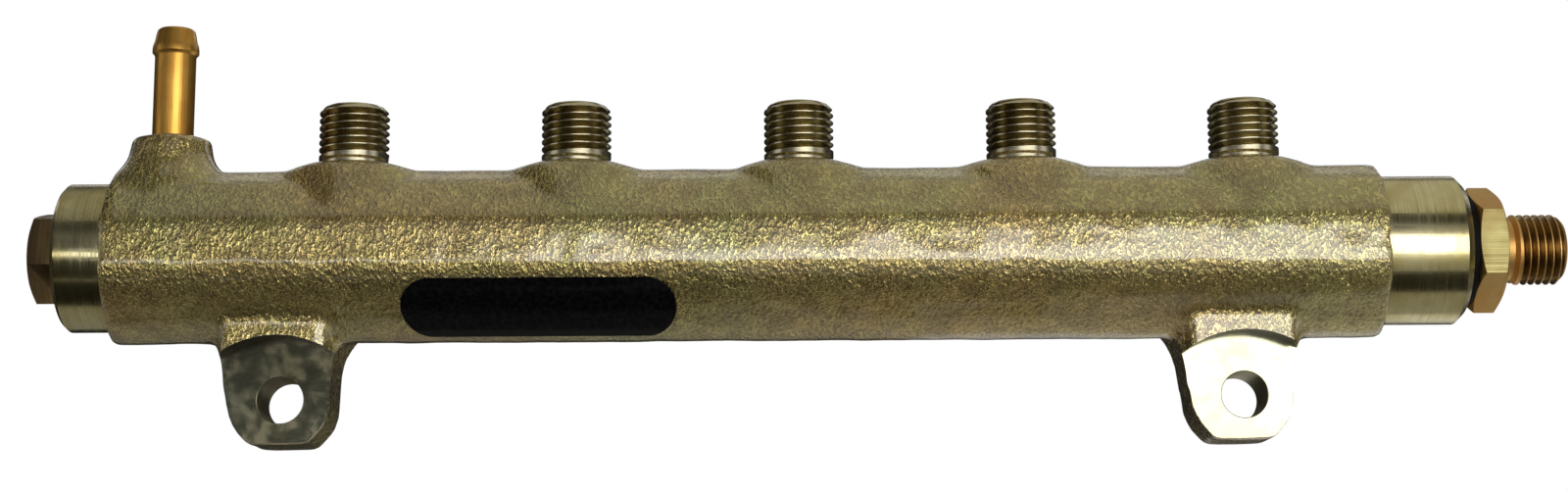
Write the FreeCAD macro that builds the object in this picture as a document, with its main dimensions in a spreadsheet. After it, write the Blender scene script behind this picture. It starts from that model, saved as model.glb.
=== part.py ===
import FreeCAD, Part
import math
import os
import re
import Sketcher

# Fuel rail of a diesel engine, in millimetres. One forging holds the high-pressure bore, the row of
# threaded ports, the return boss and the two mounting lugs. Screwed into its ends are the
# pressure relief valve and the supply fitting.
#
# The part stands with its ports up (+Z), its length along X and its milled lug faces towards -Y.
# The origin is midway between the two mounting bolts, on the lugs' seating plane.
# Each body is drawn about the rail's own axis, with the middle port at zero along it.

DIMENSIONS = {
    # Forged body: the section is given about the bore axis, for the front half.
    "body_length": 252.3,
    "body_left": 136.8,
    "crown_rise": 17.2,
    "crown_half_width": 3.2,
    "shoulder_rise": 13.3,
    "shoulder_reach": 9.7,
    "upper_edge_rise": 5.3,
    "upper_edge_reach": 15.0,
    "ridge_drop": 3.9,
    "ridge_reach": 15.4,
    "lower_edge_drop": 9.9,
    "lower_edge_reach": 12.0,
    "keel_side_drop": 15.4,
    "keel_side_reach": 6.2,
    "keel_drop": 17.4,
    "keel_half_width": 2.0,
    "edge_round": 2.5,
    "ridge_round": 1.0,
    # Turned ends
    "turned_diameter": 29.7,
    "left_turned": 9.2,
    "right_turned": 16.0,
    "turned_chamfer": 0.8,
    "right_chamfer": 1.5,
    # Bores along the rail
    "main_bore": 10.0,
    "end_thread": 16.0,
    "thread_clearance": 0.05,
    "mouth_chamfer": 0.3,
    "valve_thread_depth": 12.0,
    "chamber_bore": 15.0,
    "chamber_depth": 28.0,
    "fitting_bore_depth": 14.0,
    # Chamfer on the points of a hexagonal head
    "head_chamfer_angle": 24.0,
    "head_chamfer_inset": 0.3,
    # Ports
    "port_pitch": 44.8,
    "port_count": 5,
    "port_thread": 14.0,
    "port_top": 30.5,
    "port_chamfer": 1.2,
    "port_neck": 13.0,
    "port_neck_length": 0.8,
    "port_mouth": 10.0,
    "port_cone_angle": 60.0,
    "port_drilling": 2.5,
    "pad_top": 18.3,
    "pad_top_diameter": 16.4,
    "pad_length": 27.0,
    "pad_width": 19.6,
    "pad_foot_drop": 0.4,
    "pad_root_length": 30.0,
    "pad_root_width": 23.6,
    "pad_root_drop": 2.0,
    # Return boss and its barb
    "boss_offset": 126.3,
    "boss_top": 24.2,
    "boss_diameter": 15.5,
    "boss_draft": 0.5,
    "boss_flare_length": 18.4,
    "boss_flare_width": 17.1,
    "boss_flare_rise": 1.0,
    "boss_foot_length": 25.0,
    "boss_foot_width": 18.4,
    "boss_foot_drop": 0.8,
    "boss_root_length": 26.0,
    "boss_root_width": 23.4,
    "boss_root_drop": 3.0,
    "barb_diameter": 8.2,
    "barb_bore": 5.0,
    "barb_top": 47.0,
    "barb_tip_diameter": 7.8,
    "bead_diameter": 9.3,
    "bead_top": 43.6,
    "bead_bottom": 41.5,
    "bead_round": 0.6,
    "bead_lead": 0.8,
    "barb_end_round": 0.5,
    "barb_insert": 8.0,
    "barb_press": 0.02,
    "return_drilling": 4.0,
    # Mounting lugs
    "bolt_spacing": 190.0,
    "bolt_middle": 7.55,
    "bolt_drop": 29.0,
    "bolt_hole": 9.2,
    "seat_behind_axis": 9.5,
    "lug_thickness": 12.5,
    "lug_proud": 5.6,
    "lug_left_reach": 12.1,
    "lug_right_reach": 10.4,
    "lug_foot_left": 6.2,
    "lug_foot_right": 5.5,
    "lug_end": 8.9,
    "lug_corner": 6.0,
    "lug_root_round": 4.5,
    "lug_root_drop": 2.4,
    "lug_root_spread": 6.0,
    "lug_root_bury": 6.1,
    "lug_left_side": 10.1,
    "lug_right_side": 9.4,
    "lug_corner_rise": 4.4,
    "lug_block_left": 11.2,
    "lug_block_right": 10.2,
    "cutter_radius": 20.0,
    "cutter_drop": 7.75,
    # Pressure relief valve, measured from the rail's left face
    "valve_hex": 17.0,
    "valve_head": 6.2,
    "hex_turn": 15.7,
    "valve_land_clearance": 0.15,
    "valve_land_length": 4.6,
    "ring_groove_offset": 1.0,
    "ring_groove_width": 2.5,
    "ring_wire": 1.8,
    "valve_shank": 12.4,
    "valve_bore": 8.0,
    "valve_bore_floor": 3.0,
    "valve_vent": 1.6,
    "vent_count": 4,
    "vent_offset": 0.9,
    "valve_seat_length": 3.0,
    "valve_orifice": 1.5,
    "seat_cone_depth": 1.2,
    "plunger_clearance": 0.1,
    "plunger_seat_gap": 0.05,
    "plunger_nose_length": 1.5,
    "plunger_neck": 4.2,
    "plunger_neck_length": 1.0,
    "plunger_guide_length": 5.0,
    "plunger_chamfer": 0.3,
    "plunger_spigot": 3.4,
    "plunger_spigot_length": 2.2,
    "shim_thickness": 1.0,
    "shim_clearance": 0.3,
    "spring_wire": 1.6,
    "spring_mean_diameter": 5.8,
    "spring_turns": 6.0,
    "round_sides": 8,
    # Supply fitting, measured from the rail's right face
    "fitting_hex": 22.0,
    "fitting_hex_length": 5.7,
    "washer_thickness": 1.8,
    "washer_diameter": 23.0,
    "washer_clearance": 0.1,
    "fitting_neck": 12.4,
    "fitting_neck_length": 2.5,
    "fitting_thread": 14.0,
    "fitting_thread_length": 10.4,
    "fitting_chamfer": 1.3,
    "fitting_mouth": 9.6,
    "fitting_drilling": 3.0,
    "fitting_relief": 13.8,
    "fitting_relief_length": 2.0,
    # Badge on the lower front of the body
    "badge_middle": 51.1,
    "badge_length": 53.9,
    "badge_height": 11.8,
    "badge_drop": 9.95,
    "badge_thickness": 0.4,
    "badge_tilt": 10.0,
}

document = FreeCAD.newDocument("FuelRail")
sizes = document.addObject("Spreadsheet::Sheet", "Sizes")
for row, (name, number) in enumerate(DIMENSIONS.items(), start=1):
    sizes.set(f"A{row}", name)
    sizes.set(f"B{row}", str(number))
    sizes.setAlias(f"B{row}", name)
document.recompute()

LEFT_FACE = "(-body_left - left_turned)"
RIGHT_FACE = "(body_length - body_left + right_turned)"
BODY_RIGHT = "(body_length - body_left)"
TURNED_RADIUS = "turned_diameter / 2"


def formula(text):
    """The expression that a property is bound to, with each size read from the sheet."""
    text = str(text)
    return re.sub(r"[a-z_]+", lambda word: "Sizes." + word[0] if word[0] in DIMENSIONS else word[0], text)


def value(text):
    """The number that an expression has with the present sizes."""
    return float(sizes.evalExpression(formula(text)))


def bind(item, **expressions):
    """Binds properties of an object to expressions in the driving sizes."""
    for name, text in expressions.items():
        item.setExpression(name.replace("__", "."), formula(text))


def part_body(label, along="0"):
    """A body on the rail's axis, so many millimetres along it from the middle port."""
    body = document.addObject("PartDesign::Body", label)
    body.Label = label
    bind(
        body,
        Placement__Base__x=f"bolt_middle + {along}",
        Placement__Base__y="-seat_behind_axis",
        Placement__Base__z="bolt_drop",
    )
    return body


def origin_feature(body, role):
    """One of the body's own origin planes or axes."""
    return next(item for item in body.Origin.OriginFeatures if item.Role == role)


def new_sketch(body, name, plane, place=("0", "0", "0")):
    """An empty sketch on an origin plane, moved in the plane's own directions."""
    sketch = body.newObject("Sketcher::SketchObject", name)
    sketch.AttachmentSupport = (origin_feature(body, plane), [""])
    sketch.MapMode = "FlatFace"
    bind(
        sketch,
        AttachmentOffset__Base__x=place[0],
        AttachmentOffset__Base__y=place[1],
        AttachmentOffset__Base__z=place[2],
    )
    return sketch


def constrain(sketch, kind, *where, text):
    """A dimension in a sketch, bound to an expression."""
    index = sketch.addConstraint(Sketcher.Constraint(kind, *where, value(text)))
    sketch.setExpression(f"Constraints[{index}]", formula(text))


def fix_point(sketch, item, position, across, up):
    """Dimensions a point from the sketch's origin."""
    constrain(sketch, "DistanceX", -1, 1, item, position, text=across)
    constrain(sketch, "DistanceY", -1, 1, item, position, text=up)


def rounded_corner(before, corner, after, radius):
    """Where a round of this radius meets the two sides of a corner, with its centre."""
    back = (before - corner).normalize()
    ahead = (after - corner).normalize()
    half = back.getAngle(ahead) / 2
    start = corner + back * (radius / math.tan(half))
    end = corner + ahead * (radius / math.tan(half))
    centre = corner + (back + ahead).normalize() * (radius / math.sin(half))
    return start, end, centre


def outline(body, name, plane, corners, place=("0", "0", "0")):
    """A closed outline through corners (across, up) or, where a corner is rounded, (across, up, radius)."""
    sketch = new_sketch(body, name, plane, place)
    points = [FreeCAD.Vector(value(corner[0]), value(corner[1]), 0) for corner in corners]
    count = len(points)
    rounds = {
        i: rounded_corner(points[i - 1], points[i], points[(i + 1) % count], value(corners[i][2]))
        for i in range(count)
        if len(corners[i]) > 2
    }
    sides = []
    for i in range(count):
        following = (i + 1) % count
        start = rounds[i][1] if i in rounds else points[i]
        end = rounds[following][0] if following in rounds else points[following]
        sides.append(sketch.addGeometry(Part.LineSegment(start, end), False))
    for i in range(count):
        before, after = sides[i - 1], sides[i]
        if i not in rounds:
            sketch.addConstraint(Sketcher.Constraint("Coincident", before, 2, after, 1))
            fix_point(sketch, after, 1, corners[i][0], corners[i][1])
            continue
        start, end, centre = rounds[i]
        turns_left = (points[i] - points[i - 1]).cross(points[(i + 1) % count] - points[i]).z > 0
        first, last = (start, end) if turns_left else (end, start)
        angles = [math.atan2(point.y - centre.y, point.x - centre.x) for point in (first, last)]
        circle = Part.Circle(centre, FreeCAD.Vector(0, 0, 1), (start - centre).Length)
        arc = sketch.addGeometry(Part.ArcOfCircle(circle, *angles), False)
        near, far = (1, 2) if turns_left else (2, 1)
        corner = sketch.addGeometry(Part.Point(points[i]), True)
        sketch.addConstraint(Sketcher.Constraint("Tangent", before, 2, arc, near))
        sketch.addConstraint(Sketcher.Constraint("Tangent", arc, far, after, 1))
        sketch.addConstraint(Sketcher.Constraint("PointOnObject", corner, 1, before))
        sketch.addConstraint(Sketcher.Constraint("PointOnObject", corner, 1, after))
        fix_point(sketch, corner, 1, corners[i][0], corners[i][1])
        constrain(sketch, "Radius", arc, text=corners[i][2])
    return sketch


def circle(body, name, plane, diameter, place=("0", "0", "0"), across="0", up="0"):
    """A sketch that holds one circle."""
    sketch = new_sketch(body, name, plane, place)
    centre = FreeCAD.Vector(value(across), value(up), 0)
    item = sketch.addGeometry(Part.Circle(centre, FreeCAD.Vector(0, 0, 1), value(diameter) / 2), False)
    if (across, up) == ("0", "0"):
        sketch.addConstraint(Sketcher.Constraint("Coincident", item, 3, -1, 1))
    else:
        fix_point(sketch, item, 3, across, up)
    constrain(sketch, "Diameter", item, text=diameter)
    return sketch


def oval(body, name, plane, length, width, place):
    """A sketch that holds one ellipse, so long across and so wide up, or a circle where they are equal."""
    if length == width:
        return circle(body, name, plane, length, place)
    sketch = new_sketch(body, name, plane, place)
    across, up = FreeCAD.Vector(value(length) / 2, 0, 0), FreeCAD.Vector(0, value(width) / 2, 0)
    centre = FreeCAD.Vector(0, 0, 0)
    lies_across = across.Length >= up.Length
    shape = Part.Ellipse(across, up, centre) if lies_across else Part.Ellipse(up, across, centre)
    item = sketch.addGeometry(shape, False)
    sketch.exposeInternalGeometry(item)
    sketch.addConstraint(Sketcher.Constraint("Coincident", item, 3, -1, 1))
    sketch.addConstraint(Sketcher.Constraint("PointOnObject", item + 1, 1, -1 if lies_across else -2))
    constrain(sketch, "Distance", item + 1, text=length if lies_across else width)
    constrain(sketch, "Distance", item + 2, text=width if lies_across else length)
    return sketch


def many_sided(body, name, plane, diameter, across, up):
    """A round wire's section, as a many-sided outline of the same size that is light to show."""
    sides = int(value("round_sides"))
    turns = [360 * (i + 0.5) / sides for i in range(sides)]
    corners = [
        (f"{across} + {diameter} / 2 * cos({turn})", f"{up} + {diameter} / 2 * sin({turn})")
        for turn in turns
    ]
    return outline(body, name, plane, corners)


def pad(body, name, sketch, length, reverse=False, middle=False):
    """Material to a length along the sketch's normal."""
    feature = body.newObject("PartDesign::Pad", name)
    feature.Profile = sketch
    feature.Reversed = reverse
    feature.Midplane = middle
    bind(feature, Length=length)
    return feature


def pocket(body, name, sketch, length=None, reverse=False, middle=False):
    """A cut to a length along the sketch's normal, or right through."""
    feature = body.newObject("PartDesign::Pocket", name)
    feature.Profile = sketch
    feature.Reversed = reverse
    feature.Midplane = middle
    if length is None:
        feature.Type = "ThroughAll"
    else:
        bind(feature, Length=length)
    return feature


def revolve(body, name, sketch, axis):
    """Material spun about one of the sketch's own axes."""
    feature = body.newObject("PartDesign::Revolution", name)
    feature.Profile = sketch
    feature.ReferenceAxis = (sketch, [axis])
    feature.Angle = 360
    return feature


def groove(body, name, sketch, axis):
    """A cut spun about one of the sketch's own axes."""
    feature = body.newObject("PartDesign::Groove", name)
    feature.Profile = sketch
    feature.ReferenceAxis = (sketch, [axis])
    feature.Angle = 360
    return feature


def row_of(body, name, feature, length, count):
    """Copies of a feature in a row along the rail."""
    pattern = body.newObject("PartDesign::LinearPattern", name)
    pattern.Originals = [feature]
    pattern.Direction = (origin_feature(body, "X_Axis"), [""])
    bind(pattern, Length=length, Occurrences=count)
    body.Tip = pattern
    return pattern


def hex_head(body, name, flats, start, length, turn, chamfered):
    """A hexagonal head along the rail axis, turned about it, with the points taken off its free ends."""
    corners = [
        (f"{flats} / sqrt(3) * cos({turn} + {60 * i})", f"{flats} / sqrt(3) * sin({turn} + {60 * i})")
        for i in range(6)
    ]
    shape = outline(body, name + "Outline", "YZ_Plane", corners, ("0", "0", start))
    pad(body, name, shape, length)
    corner = f"({flats} / sqrt(3))"
    flat = f"({flats} / 2 - head_chamfer_inset)"
    depth = f"(({corner} - {flat}) * tan(head_chamfer_angle))"
    ends = {"start": (start, "+"), "end": (f"({start} + {length})", "-")}
    for end in chamfered:
        face, inward = ends[end]
        beyond = "-" if inward == "+" else "+"
        shape = outline(
            body,
            f"{name}{end.title()}Chamfer",
            "XZ_Plane",
            [
                (f"{face} {beyond} {depth}", flat),
                (face, flat),
                (f"{face} {inward} {depth}", corner),
                (f"{face} {inward} {depth}", f"{corner} + {depth}"),
                (f"{face} {beyond} {depth}", f"{corner} + {depth}"),
            ],
        )
        groove(body, f"{name}{end.title()}", shape, "H_Axis")


def section_corners():
    """The forging's section about the bore axis (front, up), the same at front and back."""
    half = [
        ("crown_half_width", "crown_rise", "edge_round"),
        ("shoulder_reach", "shoulder_rise", "edge_round"),
        ("upper_edge_reach", "upper_edge_rise", "edge_round"),
        ("ridge_reach", "-ridge_drop", "ridge_round"),
        ("lower_edge_reach", "-lower_edge_drop", "edge_round"),
        ("keel_side_reach", "-keel_side_drop", "edge_round"),
        ("keel_half_width", "-keel_drop", "edge_round"),
    ]
    front = [(f"-{across}", up, radius) for across, up, radius in half]
    back = [(across, up, radius) for across, up, radius in reversed(half)]
    return front + back


def build_rail():
    """The forging, with everything that is machined in it."""
    body = part_body("rail_body")
    section = outline(body, "Section", "YZ_Plane", section_corners(), ("0", "0", "-body_left"))
    pad(body, "ForgedBar", section, "body_length")
    boss_loft(body)
    end_slab = outline(
        body,
        "EndTrimOutline",
        "XZ_Plane",
        [
            ("-body_left", "0"),
            ("-body_left", "boss_top * 2"),
            ("-body_left - boss_foot_length", "boss_top * 2"),
            ("-body_left - boss_foot_length", "0"),
        ],
    )
    pocket(body, "EndTrim", end_slab, "boss_foot_width * 2", middle=True)
    port_row(body)
    lugs(body)
    turned_end(body, "LeftTurned", "-body_left", LEFT_FACE, "turned_chamfer")
    turned_end(body, "RightTurned", BODY_RIGHT, RIGHT_FACE, "right_chamfer")
    rail_bores(body)
    return body


def turned_end(body, name, shoulder, face, chamfer):
    """A cylinder turned on the end of the forging, chamfered at its face."""
    outward = "+" if value(face) > value(shoulder) else "-"
    inward = "-" if outward == "+" else "+"
    profile = outline(
        body,
        name + "Profile",
        "XZ_Plane",
        [
            (shoulder, "0"),
            (face, "0"),
            (face, f"{TURNED_RADIUS} - {chamfer}"),
            (f"{face} {inward} {chamfer}", TURNED_RADIUS),
            (shoulder, TURNED_RADIUS),
        ],
    )
    return revolve(body, name, profile, "H_Axis")


def loft(body, name, sections):
    """Material lofted through sketches, from the first to the last."""
    feature = body.newObject("PartDesign::AdditiveLoft", name)
    feature.Profile = sections[0]
    feature.Sections = sections[1:]
    feature.Ruled = True
    return feature


def boss_loft(body):
    """The return boss: round at its top, and spreading into the crown like a forged root."""
    levels = [
        ("boss_top", "boss_diameter", "boss_diameter"),
        ("(boss_top + crown_rise) / 2", "boss_diameter + boss_draft", "boss_diameter + boss_draft"),
        ("crown_rise + boss_flare_rise", "boss_flare_length", "boss_flare_width"),
        ("crown_rise - boss_foot_drop", "boss_foot_length", "boss_foot_width"),
        ("shoulder_rise - boss_root_drop", "boss_root_length", "boss_root_width"),
    ]
    sketches = [
        oval(body, f"BossLevel{i}", "XY_Plane", length, width, ("-boss_offset", "0", level))
        for i, (level, length, width) in enumerate(levels, start=1)
    ]
    return loft(body, "ReturnBoss", sketches)


def port_row(body):
    """The ports: a low forged pad, and a neck and threaded stub turned from the same metal."""
    first = "-port_pitch * (port_count - 1) / 2"
    span = "port_pitch * (port_count - 1)"
    levels = [
        ("pad_top", "pad_top_diameter", "pad_top_diameter"),
        ("crown_rise - pad_foot_drop", "pad_length", "pad_width"),
        ("shoulder_rise - pad_root_drop", "pad_root_length", "pad_root_width"),
    ]
    sketches = [
        oval(body, f"PadLevel{i}", "XY_Plane", length, width, (first, "0", level))
        for i, (level, length, width) in enumerate(levels, start=1)
    ]
    row_of(body, "PadRow", loft(body, "PortPad", sketches), span, "port_count")
    profile = outline(
        body,
        "PortProfile",
        "XZ_Plane",
        [
            ("0", "shoulder_rise"),
            ("port_neck / 2", "shoulder_rise"),
            ("port_neck / 2", "pad_top + port_neck_length"),
            ("port_thread / 2", "pad_top + port_neck_length + (port_thread - port_neck) / 2"),
            ("port_thread / 2", "port_top - port_chamfer"),
            ("port_thread / 2 - port_chamfer", "port_top"),
            ("0", "port_top"),
        ],
        (first, "0", "0"),
    )
    row_of(body, "PortRow", revolve(body, "Port", profile, "V_Axis"), span, "port_count")
    seat = outline(
        body,
        "PortSeatProfile",
        "XZ_Plane",
        [
            ("0", "port_top"),
            ("port_mouth / 2", "port_top"),
            ("port_drilling / 2", "port_top - (port_mouth - port_drilling) / 2 / tan(port_cone_angle / 2)"),
            ("port_drilling / 2", "0"),
            ("0", "0"),
        ],
        (first, "0", "0"),
    )
    row_of(body, "PortSeatRow", groove(body, "PortSeat", seat, "V_Axis"), span, "port_count")


def lugs(body):
    """The two mounting lugs, with the face that a cutter has milled round each bolt hole."""
    left = "(-bolt_middle - bolt_spacing / 2)"
    root = "-(keel_drop - lug_root_bury)"
    end = "-(bolt_drop + lug_end)"
    corners = [
        (f"{left} - lug_left_reach - lug_root_spread", root),
        (f"{left} - lug_left_reach", "-keel_drop - lug_root_drop", "lug_root_round"),
        (f"{left} - lug_left_side", f"{end} + lug_corner_rise", "lug_corner"),
        (f"{left} - lug_foot_left", end),
        (f"{left} + lug_foot_right", end),
        (f"{left} + lug_right_side", f"{end} + lug_corner_rise", "lug_corner"),
        (f"{left} + lug_right_reach", "-keel_drop - lug_root_drop", "lug_root_round"),
        (f"{left} + lug_right_reach + lug_root_spread", root),
    ]
    seat = ("0", "0", "-seat_behind_axis")
    shape = outline(body, "LugOutline", "XZ_Plane", corners, seat)
    row_of(body, "LugPair", pad(body, "Lug", shape, "lug_thickness"), "bolt_spacing", "2")
    front = ("0", "0", "lug_thickness - seat_behind_axis")
    corners = [
        (f"{left} - lug_block_left", root),
        (f"{left} - lug_block_left", "-bolt_drop"),
        (f"{left} + lug_block_right", "-bolt_drop"),
        (f"{left} + lug_block_right", root),
    ]
    block = pad(body, "LugBlock", outline(body, "BlockOutline", "XZ_Plane", corners, front), "lug_proud")
    row_of(body, "LugBlockPair", block, "bolt_spacing", "2")
    sweep = circle(
        body, "CutterSweep", "XZ_Plane", "cutter_radius * 2", front, left, "-(bolt_drop + cutter_drop)"
    )
    facing = pocket(body, "MilledFace", sweep, "lug_thickness + lug_proud", reverse=True)
    row_of(body, "MilledPair", facing, "bolt_spacing", "2")
    hole = circle(body, "BoltHoleOutline", "XZ_Plane", "bolt_hole", seat, left, "-bolt_drop")
    drilling = pocket(body, "BoltHole", hole, "lug_thickness + lug_proud", reverse=True)
    row_of(body, "BoltHolePair", drilling, "bolt_spacing", "2")


def rail_bores(body):
    """The bore along the rail with its two threaded mouths, and the drilling up to the barb."""
    thread = "(end_thread / 2 + thread_clearance)"
    step = f"({thread} - chamber_bore / 2)"
    funnel = f"(({thread} - main_bore / 2) / tan(60))"
    profile = outline(
        body,
        "BoreProfile",
        "XZ_Plane",
        [
            (LEFT_FACE, "0"),
            (RIGHT_FACE, "0"),
            (RIGHT_FACE, f"{thread} + mouth_chamfer"),
            (f"{RIGHT_FACE} - mouth_chamfer", thread),
            (f"{RIGHT_FACE} - fitting_bore_depth", thread),
            (f"{RIGHT_FACE} - fitting_bore_depth - {funnel}", "main_bore / 2"),
            (f"{LEFT_FACE} + chamber_depth", "main_bore / 2"),
            (f"{LEFT_FACE} + chamber_depth", "chamber_bore / 2"),
            (f"{LEFT_FACE} + valve_thread_depth + {step}", "chamber_bore / 2"),
            (f"{LEFT_FACE} + valve_thread_depth", thread),
            (f"{LEFT_FACE} + mouth_chamfer", thread),
            (LEFT_FACE, f"{thread} + mouth_chamfer"),
        ],
    )
    groove(body, "RailBore", profile, "H_Axis")
    fit = "(barb_diameter / 2 - barb_press)"
    profile = outline(
        body,
        "ReturnBoreProfile",
        "XZ_Plane",
        [
            ("0", "boss_top"),
            (fit, "boss_top"),
            (fit, "boss_top - barb_insert"),
            ("return_drilling / 2", "boss_top - barb_insert"),
            ("return_drilling / 2", "main_bore / 2"),
            ("0", "main_bore / 2"),
        ],
        ("-boss_offset", "0", "0"),
    )
    groove(body, "ReturnBore", profile, "V_Axis")


def build_barb():
    """The brass barb pressed into the return boss."""
    body = part_body("hose_barb", "-boss_offset")
    lead = "(bead_diameter - barb_diameter) / 2"
    profile = outline(
        body,
        "BarbProfile",
        "XZ_Plane",
        [
            ("barb_bore / 2", "boss_top - barb_insert"),
            ("barb_diameter / 2", "boss_top - barb_insert"),
            ("barb_diameter / 2", "bead_bottom"),
            ("bead_diameter / 2", f"bead_bottom + {lead}"),
            ("bead_diameter / 2", "bead_top - bead_round"),
            ("barb_tip_diameter / 2", "bead_top + bead_lead"),
            ("barb_tip_diameter / 2", "barb_top - barb_end_round"),
            ("barb_tip_diameter / 2 - barb_end_round", "barb_top"),
            ("barb_bore / 2", "barb_top"),
        ],
    )
    revolve(body, "Barb", profile, "V_Axis")
    return body


def build_valve_body():
    """The relief valve's housing: hexagonal head, thread, sealing land and vented nose."""
    body = part_body("relief_valve_body", LEFT_FACE)
    land = "(chamber_bore / 2 - valve_land_clearance)"
    land_end = "(valve_thread_depth + valve_land_length)"
    ring_start = "(valve_thread_depth + ring_groove_offset)"
    ring_end = f"({ring_start} + ring_groove_width)"
    ring_floor = "(chamber_bore / 2 - ring_wire)"
    profile = outline(
        body,
        "ShankProfile",
        "XZ_Plane",
        [
            ("0", "0"),
            ("chamber_depth", "0"),
            ("chamber_depth", "valve_shank / 2"),
            (f"{land_end} + {land} - valve_shank / 2", "valve_shank / 2"),
            (land_end, land),
            (ring_end, land),
            (ring_end, ring_floor),
            (ring_start, ring_floor),
            (ring_start, land),
            ("valve_thread_depth", land),
            (f"valve_thread_depth - (end_thread / 2 - {land})", "end_thread / 2"),
            ("0", "end_thread / 2"),
        ],
    )
    revolve(body, "Shank", profile, "H_Axis")
    hex_head(body, "Head", "valve_hex", "-valve_head", "valve_head", "hex_turn", ["start"])
    bore = outline(
        body,
        "BoreProfile",
        "XZ_Plane",
        [
            ("valve_bore_floor", "0"),
            ("chamber_depth", "0"),
            ("chamber_depth", "valve_bore / 2"),
            ("valve_bore_floor", "valve_bore / 2"),
        ],
    )
    groove(body, "Bore", bore, "H_Axis")
    middle = "chamber_depth - valve_seat_length - vent_offset"
    hole = circle(body, "VentOutline", "XY_Plane", "valve_vent", across=middle)
    vent = pocket(body, "Vent", hole, "valve_shank", reverse=True)
    pattern = body.newObject("PartDesign::PolarPattern", "Vents")
    pattern.Originals = [vent]
    pattern.Axis = (origin_feature(body, "X_Axis"), [""])
    pattern.Angle = 360
    bind(pattern, Occurrences="vent_count")
    body.Tip = pattern
    return body


SEAT_START = "(chamber_depth - valve_seat_length)"
ORIFICE = "valve_orifice / 2"


def build_valve_seat():
    """The hardened seat pressed into the housing's nose: an orifice with a cone on its left side."""
    body = part_body("relief_valve_seat", LEFT_FACE)
    profile = outline(
        body,
        "SeatProfile",
        "XZ_Plane",
        [
            (SEAT_START, f"{ORIFICE} + seat_cone_depth"),
            (f"{SEAT_START} + seat_cone_depth", ORIFICE),
            ("chamber_depth", ORIFICE),
            ("chamber_depth", "valve_bore / 2"),
            (SEAT_START, "valve_bore / 2"),
        ],
    )
    revolve(body, "Seat", profile, "H_Axis")
    return body


def plunger_base():
    """Where the plunger's nose cone begins, with its cone a small gap from the seat's."""
    return f"({SEAT_START} - plunger_seat_gap * sqrt(2) + {ORIFICE} + seat_cone_depth - plunger_neck / 2)"


def plunger_rear():
    """The face that the spring pushes on."""
    return f"({plunger_base()} - plunger_neck_length - plunger_guide_length)"


def build_plunger():
    """The sprung plunger: cone nose, guide and a spigot for the spring."""
    body = part_body("relief_valve_plunger", LEFT_FACE)
    guide = "(valve_bore / 2 - plunger_clearance)"
    base = plunger_base()
    rear = plunger_rear()
    profile = outline(
        body,
        "PlungerProfile",
        "XZ_Plane",
        [
            (f"{rear} - plunger_spigot_length", "0"),
            (f"{base} + plunger_nose_length", "0"),
            (f"{base} + plunger_nose_length", "plunger_neck / 2 - plunger_nose_length"),
            (base, "plunger_neck / 2"),
            (f"{base} - plunger_neck_length", "plunger_neck / 2"),
            (f"{base} - plunger_neck_length", f"{guide} - plunger_chamfer"),
            (f"{base} - plunger_neck_length - plunger_chamfer", guide),
            (rear, guide),
            (rear, "plunger_spigot / 2"),
            (f"{rear} - plunger_spigot_length", "plunger_spigot / 2"),
        ],
    )
    revolve(body, "Plunger", profile, "H_Axis")
    return body


def build_spring():
    """The spring between the shim and the plunger."""
    body = part_body("relief_valve_spring", LEFT_FACE)
    start = "(valve_bore_floor + shim_thickness + spring_wire / 2)"
    height = f"({plunger_rear()} - spring_wire / 2 - {start})"
    wire = many_sided(body, "WireOutline", "XZ_Plane", "spring_wire", start, "spring_mean_diameter / 2")
    coil = body.newObject("PartDesign::AdditiveHelix", "Coil")
    coil.Profile = wire
    coil.ReferenceAxis = (wire, ["H_Axis"])
    coil.Mode = "height-turns-angle"
    bind(coil, Height=height, Turns="spring_turns")
    return body


def build_shim():
    """The shim that sets the spring's load."""
    body = part_body("relief_valve_shim", LEFT_FACE)
    disc = circle(body, "ShimOutline", "YZ_Plane", "valve_bore - shim_clearance", ("0", "0", "valve_bore_floor"))
    pad(body, "Shim", disc, "shim_thickness")
    return body


def build_ring():
    """The rubber ring in the housing's groove."""
    body = part_body("relief_valve_o_ring", LEFT_FACE)
    middle = "valve_thread_depth + ring_groove_offset + ring_groove_width / 2"
    wire = many_sided(body, "RingOutline", "XZ_Plane", "ring_wire", middle, "(chamber_bore - ring_wire) / 2")
    revolve(body, "Ring", wire, "H_Axis")
    return body


def build_washer():
    """The seal between the rail's right face and the fitting's hexagon."""
    body = part_body("fitting_seal_washer", RIGHT_FACE)
    bore = "(end_thread / 2 + washer_clearance)"
    profile = outline(
        body,
        "WasherProfile",
        "XZ_Plane",
        [
            ("0", bore),
            ("washer_thickness", bore),
            ("washer_thickness", "washer_diameter / 2"),
            ("0", "washer_diameter / 2"),
        ],
    )
    revolve(body, "Washer", profile, "H_Axis")
    return body


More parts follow.
